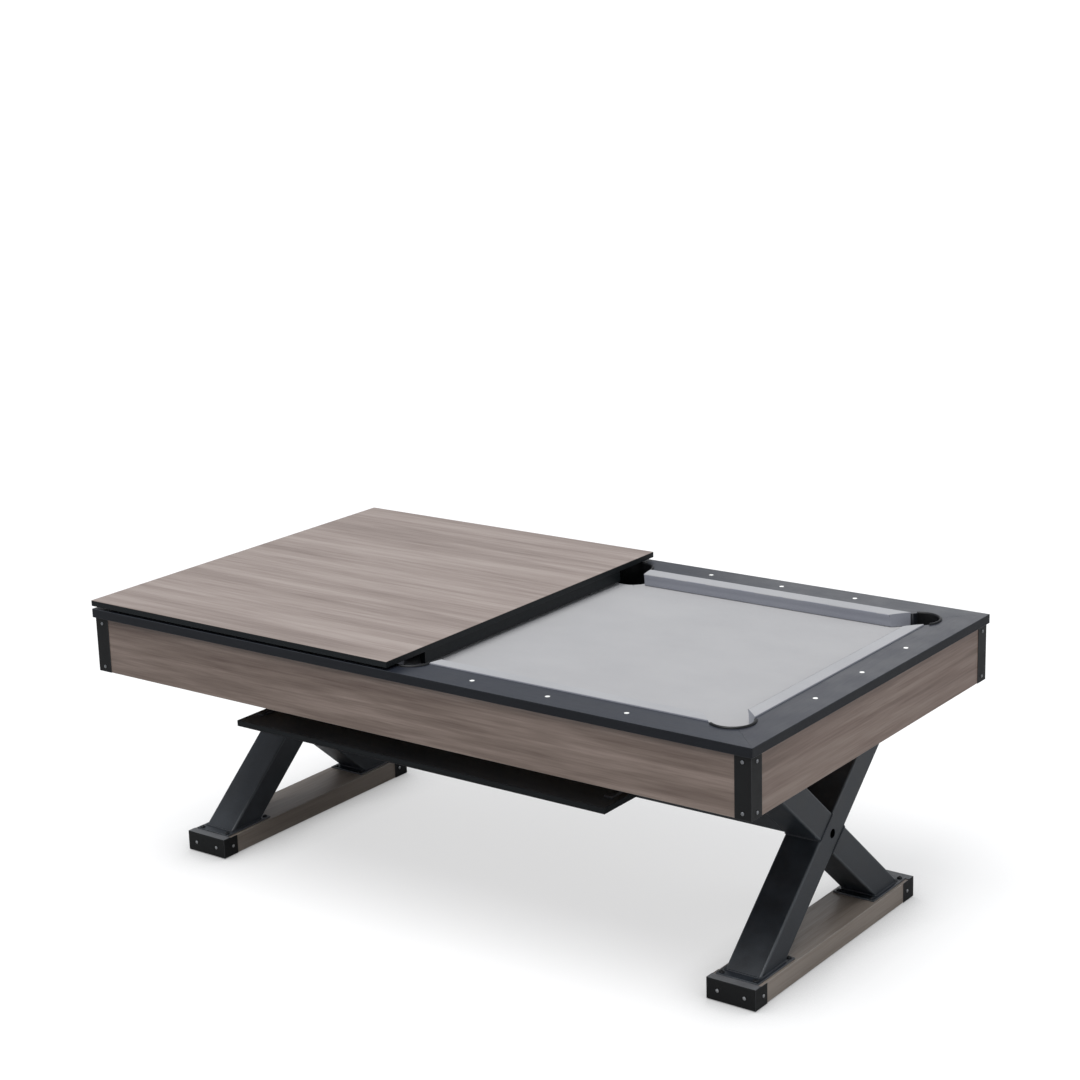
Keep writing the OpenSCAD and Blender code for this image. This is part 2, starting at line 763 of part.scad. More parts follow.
module batten_piece() {
    face = cover_l / 2 - (batten_in - cover_seam / 2);
    drop = cover_z - cloth_top - batten_gap;
    color("#222326") translate([face - batten_t, -batten_l / 2, -drop]) cube([batten_t, batten_l, drop]);
}

module strip_pieces() {
    y0 = half_w - strip_in - strip_w;
    color("#1b1b1c") for (my = [0, 1]) mirror([0, my, 0])
        translate([-cover_l / 2 + strip_end, y0, -cover_gap + rest_gap])
            cube([cover_l - 2 * strip_end, strip_w, cover_gap - rest_gap]);
}

module cover_place() {
    translate([cover_x, 0, cover_z]) children();
}

// The stowed half lies face down and crosswise, with its batten at the back
module stowed_place() {
    translate([0, 0, stow_z]) rotate([0, 0, 90]) rotate([180, 0, 0]) children();
}

// Stowage

module stow_runners() {
    top = cabinet_z + runner_fix;
    color("#26272a") for (mx = [0, 1]) mirror([mx, 0, 0]) difference() {
        union() {
            translate([runner_x, -runner_l / 2, runner_z]) cube([runner_t, runner_l, top - runner_z]);
            translate([runner_x + runner_t - runner_lip, -runner_l / 2, runner_z])
                cube([runner_lip, runner_l, runner_t]);
        }
        runner_screw_places() trim_hole();
    }
}

// Puts its children at the screws of the runner at +X, heads towards the middle
module runner_screw_places() {
    for (y = RUNNER_SCREWS)
        translate([runner_x, y, cabinet_z + runner_fix / 2]) rotate([0, -90, 0]) children();
}

module runner_screws() {
    color("#8d8f92") for (mx = [0, 1]) mirror([mx, 0, 0]) runner_screw_places() trim_bolt();
}

translate([-leg_x, 0, 0]) foot_beam();  // foot_beam_left
translate([leg_x, 0, 0]) foot_beam();  // foot_beam_right
foot_caps();
foot_cap_bolts();
leveler(-1, -1);  // leveler_front_left
leveler(1, -1);  // leveler_front_right
leveler(-1, 1);  // leveler_back_left
leveler(1, 1);  // leveler_back_right
leveler_inserts();
through_arm(-1);  // left_through_arm
half_arm(-1, 1);  // left_upper_arm
half_arm(-1, -1);  // left_lower_arm
through_arm(1);  // right_through_arm
half_arm(1, 1);  // right_upper_arm
half_arm(1, -1);  // right_lower_arm
leg_flanges();
leg_flange_bolts();
stretcher_beam();
stretcher_board();
stretcher_bolts();
long_apron(-1);  // front_apron
long_apron(1);  // back_apron
end_apron(-1);  // left_apron
end_apron(1);  // right_apron
corner_caps();
corner_cap_bolts();
leg_beams();
cross_members();
bed_cleats();
bed_slab();
bed_cloth();
long_rail(180);  // rail_front
long_rail(0);  // rail_back
end_rail(90);  // rail_left
end_rail(-90);  // rail_right
long_cushion(180, 1);  // cushion_front_left
long_cushion(180, -1);  // cushion_front_right
long_cushion(0, -1);  // cushion_back_left
long_cushion(0, 1);  // cushion_back_right
end_cushion(90);  // cushion_left
end_cushion(-90);  // cushion_right
sights();
rail_bolts();
pocket(0);  // pocket_front_left
pocket(1);  // pocket_front_middle
pocket(2);  // pocket_front_right
pocket(3);  // pocket_back_left
pocket(4);  // pocket_back_middle
pocket(5);  // pocket_back_right
stow_runners();
runner_screws();
cover_place() board_piece();  // cover_board
cover_place() sheet_piece();  // cover_sheet
cover_place() batten_piece();  // cover_batten
cover_place() strip_pieces();  // cover_strips
stowed_place() board_piece();  // stowed_board
stowed_place() sheet_piece();  // stowed_sheet
stowed_place() batten_piece();  // stowed_batten
stowed_place() strip_pieces();  // stowed_strips
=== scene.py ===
"""Looks of a pool table on crossed steel legs, with a two-piece dining cover.

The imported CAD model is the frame. Every piece is in metres in its coordinates: the origin is on
the floor under the middle of the table, X runs along it, the front is -Y, Z is up.
"""

import json
import math

import bmesh
import bpy
import numpy as np
from mathutils import Matrix, Vector
from mathutils.geometry import delaunay_2d_cdt


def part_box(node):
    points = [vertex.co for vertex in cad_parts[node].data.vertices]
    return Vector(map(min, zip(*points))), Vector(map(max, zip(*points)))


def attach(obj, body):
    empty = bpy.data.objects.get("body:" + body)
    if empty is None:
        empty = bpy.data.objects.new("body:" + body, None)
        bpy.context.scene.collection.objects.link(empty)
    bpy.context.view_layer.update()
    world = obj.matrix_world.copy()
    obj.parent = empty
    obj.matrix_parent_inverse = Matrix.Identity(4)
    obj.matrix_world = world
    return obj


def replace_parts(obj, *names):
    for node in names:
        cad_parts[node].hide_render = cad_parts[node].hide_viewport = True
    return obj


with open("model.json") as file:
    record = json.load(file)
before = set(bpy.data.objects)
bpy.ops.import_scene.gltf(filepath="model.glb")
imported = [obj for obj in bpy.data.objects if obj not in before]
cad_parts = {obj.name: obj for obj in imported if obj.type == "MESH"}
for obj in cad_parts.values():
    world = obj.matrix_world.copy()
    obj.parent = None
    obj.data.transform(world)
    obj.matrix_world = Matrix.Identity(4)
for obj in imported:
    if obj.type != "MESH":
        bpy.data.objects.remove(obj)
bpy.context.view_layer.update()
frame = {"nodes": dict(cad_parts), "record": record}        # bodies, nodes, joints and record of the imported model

MM = 0.001
X, Y, Z = 0, 1, 2
scene = bpy.context.scene
BODY_OF = {n: b for b, names in frame["record"]["behaviour"]["bodies"].items() for n in names}
POCKETS = sorted(n for n in frame["nodes"] if n.startswith("pocket_"))
CUSHIONS = sorted(n for n in frame["nodes"] if n.startswith("cushion_"))


# ---------------------------------------------------------------- node trees

def linear(colour):
    """Linear RGBA of an sRGB hex colour: the sRGB transfer curve undone on each channel."""
    c = np.array([int(colour[i:i + 2], 16) for i in (1, 3, 5)]) / 255
    return (*np.where(c <= 0.04045, c / 12.92, ((c + 0.055) / 1.055) ** 2.4).tolist(), 1.0)


def add(tree, kind, sockets=None, stops=None, **settings):
    """Adds a shader node. settings are its own properties; sockets gives each input, by name or
    number, a value, an sRGB hex colour, or the node or output that is linked to it; stops are a
    ramp's places and colours."""
    node = tree.nodes.new("ShaderNode" + kind)
    for name, value in settings.items():
        setattr(node, name, value)
    for place, colour in stops or []:
        known = node.color_ramp.elements
        if place == stops[0][0]:
            stop = known[0]
        elif place == stops[-1][0]:
            stop = known[-1]
        else:
            stop = known.new(place)
        stop.position, stop.color = place, linear(colour)
    for key, value in (sockets or {}).items():
        socket = node.inputs[key]
        if isinstance(value, bpy.types.Node):
            value = value.outputs[0]
        if isinstance(value, bpy.types.NodeSocket):
            tree.links.new(value, socket)
        else:
            socket.default_value = linear(value) if isinstance(value, str) else value
    return node


def new_material(name):
    """An empty material and its node tree."""
    material = bpy.data.materials.new(name)
    material.use_nodes = True
    material.node_tree.nodes.clear()
    return material, material.node_tree


def layer(tree, cell, detail=3.0):
    """Noise whose cells are cell = (x, y, z) millimetres large, from 0 to 1, about 0.5."""
    scale = [1 / (c * MM) for c in cell]
    place = add(tree, "Mapping", {"Vector": add(tree, "TexCoord").outputs["Object"],
                                  "Scale": scale})
    return add(tree, "TexNoise", {"Vector": place, "Scale": 1.0, "Detail": detail,
                                  "Roughness": 0.55})


def blend(tree, *shares):
    """Sum of several layers, each times its share: shares are (node, share) pairs."""
    total = 0.0
    for node, share in shares:
        total = add(tree, "Math", {0: node, 1: share, 2: total}, operation="MULTIPLY_ADD")
    return total


def finish(tree, tone, stops, rough, height, deep, **shader):
    """Ends a material with one Principled shader. tone goes through the ramp `stops` to give its
    colour. rough is its roughness: one number, or (layer, low, high, to_low, to_high), which
    takes the layer straight from low..high to to_low..to_high and holds it at the ends. height,
    from 0 to 1, is a relief that is deep millimetres high. shader gives other inputs, with
    underscores read as spaces."""
    if isinstance(rough, tuple):
        keys = ("Value", "From Min", "From Max", "To Min", "To Max")
        rough = add(tree, "MapRange", dict(zip(keys, rough)))
    inputs = {key.replace("_", " "): value for key, value in shader.items()}
    inputs["Base Color"] = add(tree, "ValToRGB", {"Fac": tone}, stops=stops)
    inputs["Roughness"] = rough
    inputs["Normal"] = add(tree, "Bump", {"Height": height, "Distance": deep * MM,
                                          "Strength": 1.0})
    add(tree, "OutputMaterial", {"Surface": add(tree, "BsdfPrincipled", inputs)})


# ---------------------------------------------------------------- finishes

LOW, HIGH = 0.36, 0.64      # a blend of layers seldom leaves this range
BOARD_FIGURE = ((75, 1300), (15, 420), (3.5, 120))
APRON_FIGURE = ((75, 1100), (20, 400), (5, 130))      # broader and stronger streaks


def grained(name, axis, dark, middle, light, rough, cells=BOARD_FIGURE, relief=0.12, spec=0.5):
    """Wood figure in three layers, each (across, along) millimetres: broad soft bands, streaks
    and fibres, all drawn out along the board's axis."""
    material, tree = new_material(name)
    layers = []
    for across, along in cells:
        cell = [across] * 3
        cell[axis] = along
        layers.append(layer(tree, cell))
    bands, streaks, fibres = layers
    finish(tree, tone=blend(tree, (bands, 0.45), (streaks, 0.35), (fibres, 0.20)),
           stops=[(0.36, dark), (0.49, middle), (0.62, light)],
           rough=(fibres, 0.3, 0.7, rough + 0.08, rough - 0.04),
           height=blend(tree, (streaks, 0.4), (fibres, 0.6)), deep=relief,
           Specular_IOR_Level=spec)
    return material


# Melamine-faced board in a weathered greige oak print: low sheen, soft long streaks, and a fine embossed grain that
# breaks up highlights. It is drawn in lit and shaded copies whose tones differ by how light falls, not by the
# board: the long aprons' copy is darker, a painted shade, and the cover's is paler, a painted light on the top. The
# end aprons' and the feet's copies each take their own tone for the light where they stand.
laminate_long_shaded = grained("melamine_greige_oak_long_painted_shade", X, "#5d4d46", "#76675e", "#908077", 0.42,
                        cells=APRON_FIGURE)
laminate_short = grained("melamine_greige_oak_short", Y, "#69594e", "#806d63", "#938277", 0.42,
                         cells=APRON_FIGURE)
# The cover's copy: paler, as painted light on the lit top.
laminate_cover_lit = grained("melamine_greige_oak_cover_painted_light", X, "#796c65", "#8c7f78", "#9c9089", 0.42)
laminate_foot = grained("melamine_greige_oak_foot", Y, "#776c62", "#8c8177", "#9b9086", 0.45)
# A paler, duller copy of the laminate on the bevelled arrises: a painted highlight along the edges.
laminate_arris_highlight = grained("melamine_greige_oak_painted_arris_highlight", X, "#7f766f", "#958c85", "#a49b94", 0.55)

# Bare plywood and softwood inside the cabinet: warm, dull, open grain.
plywood = grained("bare_plywood_members", Y, "#8a6f50", "#a68a67", "#b89c78", 0.72,
                  cells=((30, 500), (9, 220), (2.5, 80)), relief=0.3, spec=0.3)
plywood_cleat = grained("bare_pine_cleats", X, "#96774f", "#b8966a", "#c8a97e", 0.7,
                        cells=((22, 600), (7, 260), (2.5, 90)), relief=0.3, spec=0.3)


def fibreboard():
    """Bare medium-density fibreboard: an even brown with fine fuzz and darker fibre clumps."""
    material, tree = new_material("bare_fibreboard")
    fuzz, clumps = layer(tree, (1.5, 1.5, 1.5)), layer(tree, (14, 14, 14))
    finish(tree, tone=blend(tree, (fuzz, 0.6), (clumps, 0.4)),
           stops=[(0.35, "#7d6447"), (0.65, "#a3875f")],
           rough=0.85, height=fuzz, deep=0.15, Specular_IOR_Level=0.25)
    return material


def coated(name, dark, light, rough, peel, relief=0.05, spec=0.5):
    """Powder coat: a cured film with orange peel of `peel` millimetres, and faint dust and
    handling marks some 60 mm wide that change its gloss."""
    material, tree = new_material(name)
    texture, marks = layer(tree, [peel] * 3, detail=2.0), layer(tree, (60, 60, 60), detail=4.0)
    finish(tree, tone=blend(tree, (texture, 0.35), (marks, 0.65)),
           stops=[(LOW, dark), (HIGH, light)],
           rough=(marks, 0.3, 0.7, rough - 0.05, rough + 0.07),
           height=texture, deep=relief, Specular_IOR_Level=spec)
    return material


# Satin black powder coat on the welded leg frames: charcoal in light, with a soft sheen.
leg_coat = coated("powder_coat_satin_legs", "#21252a", "#2f343a", 0.38, 2.6)
# A paler grey on the tubes' rounded corners: a painted highlight along the arrises.
leg_arris_highlight = coated("powder_coat_painted_arris_highlight", "#3a3e42", "#4b5054", 0.34, 2.6)
# On the flanges' upright sheared edges the coat is drawn paler still: a painted highlight along the plate edges.
flange_edge_highlight = coated("powder_coat_painted_edge_highlight", "#4a4d51", "#5c5f63", 0.4, 2.6)
# Fine-textured black powder coat on folded trim: matt, with tiny sparkle. The real texture is
# 0.4 mm; it is drawn at 1.4 mm so that it shows.
trim_coat = coated("powder_coat_textured_trim", "#090a0b", "#0f1011", 0.5, 1.4, relief=0.08,
                   spec=0.32)
# A paler grey on the trim's bevelled arrises: a painted highlight along the folds.
trim_arris_highlight = coated("powder_coat_textured_arris_highlight", "#2a2c2e", "#37393b", 0.42, 1.4)
# The same coat on the foot caps' level tops, drawn a light grey: painted light, standing in for the overhead
# light's sheen on them.
trim_top_lit = coated("powder_coat_textured_painted_top_light", "#5c5d5f", "#707173", 0.48, 1.4, relief=0.08)
# Satin black paint on the levelers.
leveler_coat = coated("painted_steel_leveler", "#202122", "#303132", 0.5, 2.0)


def black_board(name, axis, dark, light, rough, relief=0.06, spec=0.5):
    """Black melamine or painted board: an even satin black with a pressed grain that shows in
    the highlights only."""
    material, tree = new_material(name)
    cell, fine = [9.0] * 3, [2.2] * 3
    cell[axis], fine[axis] = 240.0, 60.0
    grain, pores = layer(tree, cell), layer(tree, fine)
    marks = layer(tree, (90, 90, 90), detail=4.0)
    finish(tree, tone=blend(tree, (grain, 0.5), (marks, 0.5)),
           stops=[(LOW, dark), (HIGH, light)],
           rough=(blend(tree, (pores, 0.5), (marks, 0.5)), 0.35, 0.65, rough - 0.05, rough + 0.06),
           height=blend(tree, (grain, 0.4), (pores, 0.6)), deep=relief, Specular_IOR_Level=spec)
    return material


# Black laminate on the rail tops: blue-black, satin, and greyer where the light skims it.
rail_long = black_board("black_laminate_rails_long", X, "#1c1f27", "#22262f", 0.36, relief=0.03)
rail_short = black_board("black_laminate_rails_short", Y, "#1d1f27", "#24262f", 0.36, relief=0.03)
rail_arris = black_board("black_laminate_rail_arris", X, "#1e2126", "#282c32", 0.42)
# Edge tape on the rails' upright sides and round the cover boards: flatter and blacker. The rails' tape is also
# toned down as a painted shade from the cover's edge above it.
rail_tape_shaded = black_board("black_edge_tape_rails_painted_shade", X, "#0e1117", "#15181e", 0.5, spec=0.3)
cover_tape = black_board("black_edge_tape_cover", X, "#0b1013", "#12181b", 0.5, spec=0.25)
# A paler grey on the cover boards' and battens' bevelled arrises: a painted highlight along the edges.
cover_arris_highlight = black_board("black_edge_tape_arris_highlight", X, "#1c1e20", "#282a2d", 0.45, spec=0.3)
# Backing paper on a cover board's hidden face: a soft charcoal that takes some light.
cover_back = black_board("charcoal_backing_paper", X, "#4b4c4f", "#58595c", 0.5, spec=0.3)


def cloth(name, dark, light, thread=2.2):
    """Worsted wool-blend billiard cloth: a tight plain weave whose threads cross at right
    angles, a faint nap, and broad soft shading where it was brushed. The real thread pitch is
    0.5 mm; it is drawn at `thread` mm so that it shows."""
    material, tree = new_material(name)
    # a wave texture of scale 1 repeats each 2 pi / 20 m, so this scale gives one band per thread
    bands = {"Vector": add(tree, "TexCoord").outputs["Object"],
             "Scale": 1 / (math.pi * thread * MM), "Distortion": 1.5,
             "Detail": 1.0, "Detail Scale": 2.0}
    weave = [add(tree, "TexWave", bands, wave_type="BANDS", bands_direction=way).outputs[1]
             for way in ("X", "Y")]
    threads = add(tree, "Math", {0: weave[0], 1: weave[1]}, operation="MULTIPLY")
    fuzz, brushed = layer(tree, (2.4, 2.4, 2.4)), layer(tree, (260, 190, 190), detail=3.0)
    slubs = layer(tree, (40, 2.0, 2.0), detail=1.0)
    finish(tree, tone=blend(tree, (threads, 0.16), (fuzz, 0.34), (brushed, 0.35), (slubs, 0.15)),
           stops=[(0.32, dark), (0.6, light)], rough=0.92,
           height=blend(tree, (threads, 0.6), (fuzz, 0.4)), deep=0.18, Specular_IOR_Level=0.2,
           Sheen_Weight=0.35, Sheen_Roughness=0.45, Sheen_Tint="#d9dcdf")
    return material


bed_cloth_finish = cloth("worsted_bed_cloth_grey", "#999899", "#a5a4a4")
# The same cloth stretched over rubber, in shaded copies: on the cushions' tops a touch darker and cooler, toned
# down against the light they catch, and on their upright faces darker and bluer, a painted shade.
cushion_top_shaded = cloth("worsted_cushion_top_painted_shade", "#969698", "#a2a2a3")
cushion_face_shaded = cloth("worsted_cushion_face_painted_shade", "#878992", "#92949c")


def bare_metal(name, dark, light, cell, metallic, rough, relief):
    """Plated or blackened steel: small clouds of cell millimetres whose darker spots are duller.
    rough is its roughness on dark and on light spots."""
    material, tree = new_material(name)
    spots = layer(tree, [cell] * 3, detail=3.0)
    finish(tree, tone=spots, stops=[(0.35, dark), (0.65, light)],
           rough=(spots, 0.3, 0.7, *rough), height=spots, deep=relief, Metallic=metallic)
    return material


# Zinc plating on dome heads: a dulled cool silver with small cloudy spots.
zinc = bare_metal("zinc_plated_steel", "#808285", "#9c9ea0", 1.6, 1.0, (0.42, 0.28), 0.03)
# The foot caps' bolts are drawn in a paler, brighter zinc.
zinc_bright = bare_metal("zinc_plated_steel_brighter", "#a2a4a6", "#c2c3c4", 1.6, 1.0, (0.42, 0.28),
                         0.03)
# Black-oxide steel bolts: oily near-black with a dull metallic glint.
black_oxide = bare_metal("black_oxide_steel", "#2b2c2e", "#3d3f41", 2.0, 0.6, (0.45, 0.32), 0.04)


def moulded(name, dark, light, rough, cell, relief, spec=0.5):
    """Moulded plastic or rubber: one colour through, with a fine spark-eroded skin."""
    material, tree = new_material(name)
    skin, flow = layer(tree, [cell] * 3, detail=2.0), layer(tree, (35, 35, 35))
    finish(tree, tone=blend(tree, (skin, 0.4), (flow, 0.6)), stops=[(LOW, dark), (HIGH, light)],
           rough=(flow, 0.3, 0.7, rough - 0.04, rough + 0.06), height=skin, deep=relief,
           Specular_IOR_Level=spec)
    return material


# Black plastic liners: deep black, with a thin glint along the bead.
pocket_plastic = moulded("moulded_pocket_plastic", "#0a0b0d", "#101113", 0.42, 1.2, 0.05, spec=0.3)
# Polished white acrylic: the brightest dots on the rails.
sight_plastic = moulded("moulded_white_sight", "#e4e4df", "#f4f4f0", 0.22, 3.0, 0.01)
# Charcoal foam rubber, close in tone to the backing paper that it sticks to.
strip_rubber = moulded("foam_rubber_strip", "#47484b", "#535457", 0.85, 1.8, 0.2, spec=0.25)
fibreboard_finish = fibreboard()


# ---------------------------------------------------------------- making pieces

SAME_PLACE = 2e-6                 # metres: points closer than this are one
TOUCHING = 1e-5                   # metres: points closer to a plane than this lie on it
FACE, ARRIS, OTHER = 0, 1, 2      # material slots of an eased piece


def grid(points, wrap=(False, False), ends=(False, False)):
    """Points and faces of an (n, m, 3) grid: a quad between each four neighbours. wrap joins the
    last row or column to the first; ends closes the first or last row with one face."""
    n, m = points.shape[:2]
    rows = np.arange(n * m).reshape(n, m)
    index = np.vstack([rows, rows[:1]]) if wrap[0] else rows
    index = np.hstack([index, index[:, :1]]) if wrap[1] else index
    quads = np.stack([index[:-1, :-1], index[:-1, 1:], index[1:, 1:], index[1:, :-1]], -1)
    caps = [rows[end].tolist() for end, wanted in zip((0, -1), ends) if wanted]
    return points.reshape(-1, 3), quads.reshape(-1, 4).tolist() + caps


def piece(name, parts, material, node, smooth=40):
    """One object from (points, faces) parts, on a CAD node's body: doubles merged, normals
    outward, edges sharper than `smooth` degrees kept crisp."""
    points, faces, start = [], [], 0
    for p, f in parts:
        points.append(p)
        faces += [[i + start for i in face] for face in f]
        start += len(p)
    mesh = bpy.data.meshes.new(name)
    mesh.from_pydata(np.concatenate(points).tolist(), [], faces)
    return shown(name, mesh, [material], node, smooth)


def shown(name, mesh, materials, node, smooth=40, turn=True):
    """Puts a finished mesh in the scene on its CAD node's body, with its material slot. With
    turn, its doubles are merged and its normals turned outward first."""
    if turn:
        bm = bmesh.new()
        bm.from_mesh(mesh)
        bmesh.ops.remove_doubles(bm, verts=bm.verts, dist=SAME_PLACE)
        bmesh.ops.recalc_face_normals(bm, faces=bm.faces)
        bm.to_mesh(mesh)
        bm.free()
    mesh.shade_smooth()
    mesh.set_sharp_from_angle(angle=math.radians(smooth))
    for material in materials:
        mesh.materials.append(material)
    made = bpy.data.objects.new(name, mesh)
    scene.collection.objects.link(made)
    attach(made, BODY_OF[node])
    return made


def merged(node):
    """A CAD solid with its loose triangles joined and its flat faces made whole."""
    bm = bmesh.new()
    bm.from_mesh(frame["nodes"][node].data)
    bmesh.ops.remove_doubles(bm, verts=bm.verts, dist=SAME_PLACE)
    bmesh.ops.dissolve_limit(bm, angle_limit=math.radians(0.3), verts=bm.verts, edges=bm.edges)
    return bm


def slants(edge):
    """Whether an edge runs neither along X nor along Y, as those across a mitre do."""
    start, end = (v.co for v in edge.verts)
    return min(abs(start.x - end.x), abs(start.y - end.y)) >= MM


def eased(node, suffix, face, arris, width, shortest=20, segments=2, smooth=50, flats=None,
          uprights=None, mitred=False):
    """A CAD solid with its long outer arrises rounded: each convex edge longer than `shortest`
    mm is bevelled `width` mm wide, and the bevel takes the arris material. Level faces take the
    material flats, and upright ones uprights, where they are given. On a mitred board the edges
    that slant across the mitre stay sharp, so that it closes tight on its neighbour."""
    bm = merged(node)
    long_edges = [e for e in bm.edges if e.calc_length() > shortest * MM and e.is_convex
                  and e.calc_face_angle(0) > math.radians(30)]
    if mitred:
        long_edges = [e for e in long_edges if not slants(e)]
    if width:
        bmesh.ops.bevel(bm, geom=long_edges, offset=width * MM, offset_type="OFFSET",
                        segments=segments, profile=0.5, affect="EDGES", clamp_overlap=False,
                        material=ARRIS if arris else -1)
    bm.normal_update()
    for f in bm.faces:
        level = abs(f.normal.z)
        if f.material_index == FACE and (flats and level > 0.9 or uprights and level < 0.1):
            f.material_index = OTHER
    name = f"{node}_{suffix}"
    mesh = bpy.data.meshes.new(name)
    bm.to_mesh(mesh)
    bm.free()
    finishes = [m for m in (face, arris, flats or uprights) if m]
    made = shown(name, mesh, finishes, node, smooth, turn=False)
    # broad faces keep their own normals, and the bevels between them turn smoothly
    made.modifiers.new("face_normals", "WEIGHTED_NORMAL").keep_sharp = True
    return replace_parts(made, node)


def corners(node):
    """Every corner of a CAD node, as an (n, 3) array."""
    vertices = frame["nodes"][node].data.vertices
    flat = np.empty(len(vertices) * 3)
    vertices.foreach_get("co", flat)
    return flat.reshape(-1, 3)


def solids(node):
    """The separate solids of a CAD node, as arrays of points: corners that coincide are one, and
    the lowest label spreads through the triangles until each solid has a single one."""
    mesh = frame["nodes"][node].data
    loops = np.empty(len(mesh.loops), int)
    mesh.loops.foreach_get("vertex_index", loops)
    points, same = np.unique(corners(node).round(6), axis=0, return_inverse=True)
    triangles = same.ravel()[loops].reshape(-1, 3)
    label = np.arange(len(points))
    while True:
        spread = label.copy()
        np.minimum.at(spread, triangles, label[triangles].min(1)[:, None])
        if (spread == label).all():
            return [points[label == k] for k in np.unique(label)]
        label = spread


# ---------------------------------------------------------------- bolts

SIDES = 24
# Shares of a head's radius: the dome's radius of curvature, where it stops for a socket, the
# underside, and the rim under its chamfer.
DOME, DOME_END, UNDERSIDE, CHAMFERED = 1.6, 0.42, 0.97, 0.985
# The socket's radius as a share of the head's, and its flats' distance as a share of that.
SOCKET, FLATS = 0.36, 0.92
# Shares of a head's height: its upright rim, the socket's lip, its depth, and its floor's dip.
RIM, LIP, DEPTH, DIP = 0.08, 0.02, 0.45, 0.05


def bolt_shape(head_r, head_h, shank_r, shank_l, socket):
    """A bolt turned about +Z with its head on z = 0: radius against height along the profile,
    carried round. With a socket, the ring at its mouth and those below are a hexagon, whose
    radius is its inner radius over the cosine of the angle from the nearest flat."""
    arc = np.linspace(1, DOME_END if socket else 0.0, 7)
    dome_z = head_h - head_r * DOME + head_r * np.sqrt(DOME ** 2 - arc ** 2)
    dome_r = head_r * arc * [CHAMFERED, 1, 1, 1, 1, 1, 1]
    r = [0, shank_r, shank_r, head_r * UNDERSIDE, head_r, *dome_r]
    z = [-shank_l, -shank_l, 0, 0, head_h * RIM, *dome_z]
    hexed = [0.0] * len(r)
    if socket:
        mouth, floor = SOCKET * head_r, dome_z[-1] - DEPTH * head_h
        r += [mouth, mouth, 0]
        z += [dome_z[-1] - LIP * head_h, floor, floor - DIP * head_h]
        hexed += [1.0, 1.0, 0.0]
    angle = np.arange(SIDES) * 2 * np.pi / SIDES
    flat = FLATS / np.cos((angle + np.pi / 6) % (np.pi / 3) - np.pi / 6)
    ring = np.array(r)[:, None] * (1 + np.array(hexed)[:, None] * (flat - 1)[None])
    points = np.stack([ring * np.cos(angle), ring * np.sin(angle),
                       np.repeat(np.array(z)[:, None], SIDES, 1)], -1)
    return grid(points, wrap=(False, True))


def bolts(node, suffix, material, socket):
    """Every bolt of a CAD node made afresh where it stands. A bolt's axis is its solid's longest
    side, and its head is at the end where its points stand furthest from that axis."""
    parts = []
    for solid in solids(node):
        low, high = solid.min(0), solid.max(0)
        axis = int(np.argmax(high - low))
        middle = (low + high) / 2
        off = np.delete(solid - middle, axis, 1)
        radius, along = np.hypot(*off.T), solid[:, axis] - middle[axis]
        rim = along[radius > 0.95 * radius.max()]
        way = 1.0 if rim.mean() > 0 else -1.0
        base = (rim * way).min()
        tail = radius[along * way < (along * way).min() + TOUCHING].max()
        points, faces = bolt_shape(radius.max(), (along * way).max() - base, tail,
                                   base - (along * way).min(), socket)
        # the bolt's own axes: a right-handed set whose third is the CAD bolt's axis
        third = np.eye(3)[axis] * way
        first = np.eye(3)[(axis + 1) % 3]
        axes = np.stack([first, np.cross(third, first), third])
        parts.append((middle + third * base + points @ axes, faces))
    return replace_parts(piece(f"{node}_{suffix}", parts, material, node, smooth=35), node)


bolts("foot_cap_bolts", "domed", zinc_bright, socket=False)
bolts("corner_cap_bolts", "domed", zinc, socket=False)
bolts("runner_screws", "domed", zinc, socket=False)
bolts("rail_bolts", "socket_head", zinc, socket=True)
bolts("leg_flange_bolts", "socket_head", black_oxide, socket=True)
bolts("stretcher_bolts", "socket_head", black_oxide, socket=True)

# ---------------------------------------------------------------- boards and steel

for node in ("front_apron", "back_apron"):
    eased(node, "panel", laminate_long_shaded, laminate_arris_highlight, 1.2)
for node in ("left_apron", "right_apron"):
    eased(node, "panel", laminate_short, laminate_arris_highlight, 1.2)
for node in ("foot_beam_left", "foot_beam_right"):
    eased(node, "panel", laminate_foot, laminate_arris_highlight, 1.5)
eased("stretcher_board", "panel", laminate_long_shaded, laminate_arris_highlight, 1.2)
for side, top in (("front", rail_long), ("back", rail_long), ("left", rail_short),
                  ("right", rail_short)):
    eased(f"rail_{side}", "moulding", top, rail_arris, 1.2, shortest=60, uprights=rail_tape_shaded,
          mitred=True)
eased("corner_caps", "folded", trim_coat, trim_arris_highlight, 0.8, shortest=15)
eased("foot_caps", "folded", trim_coat, trim_arris_highlight, 0.8, shortest=15, flats=trim_top_lit)
eased("stow_runners", "folded", trim_coat, trim_arris_highlight, 0.8, shortest=15)
for side in ("left", "right"):
    for arm in ("through_arm", "upper_arm", "lower_arm"):
        eased(f"{side}_{arm}", "tube", leg_coat, leg_arris_highlight, 5.5, shortest=150, segments=4)
eased("stretcher_beam", "tube", leg_coat, leg_arris_highlight, 5.0, shortest=500, segments=4)
eased("leg_flanges", "plate", leg_coat, leg_arris_highlight, 0.8, shortest=60, uprights=flange_edge_highlight)
eased("cover_board", "edged", cover_tape, cover_arris_highlight, 0.8, flats=cover_back)
eased("stowed_board", "edged", cover_tape, cover_arris_highlight, 0.8, flats=cover_back)
eased("cover_sheet", "foil", laminate_cover_lit, None, 0.3)
eased("stowed_sheet", "foil", laminate_short, cover_tape, 0.3, uprights=cover_tape)
eased("cover_batten", "board", cover_tape, cover_arris_highlight, 1.5)
eased("stowed_batten", "board", cover_tape, cover_arris_highlight, 1.5)
eased("cover_strips", "foam", strip_rubber, None, 1.5)
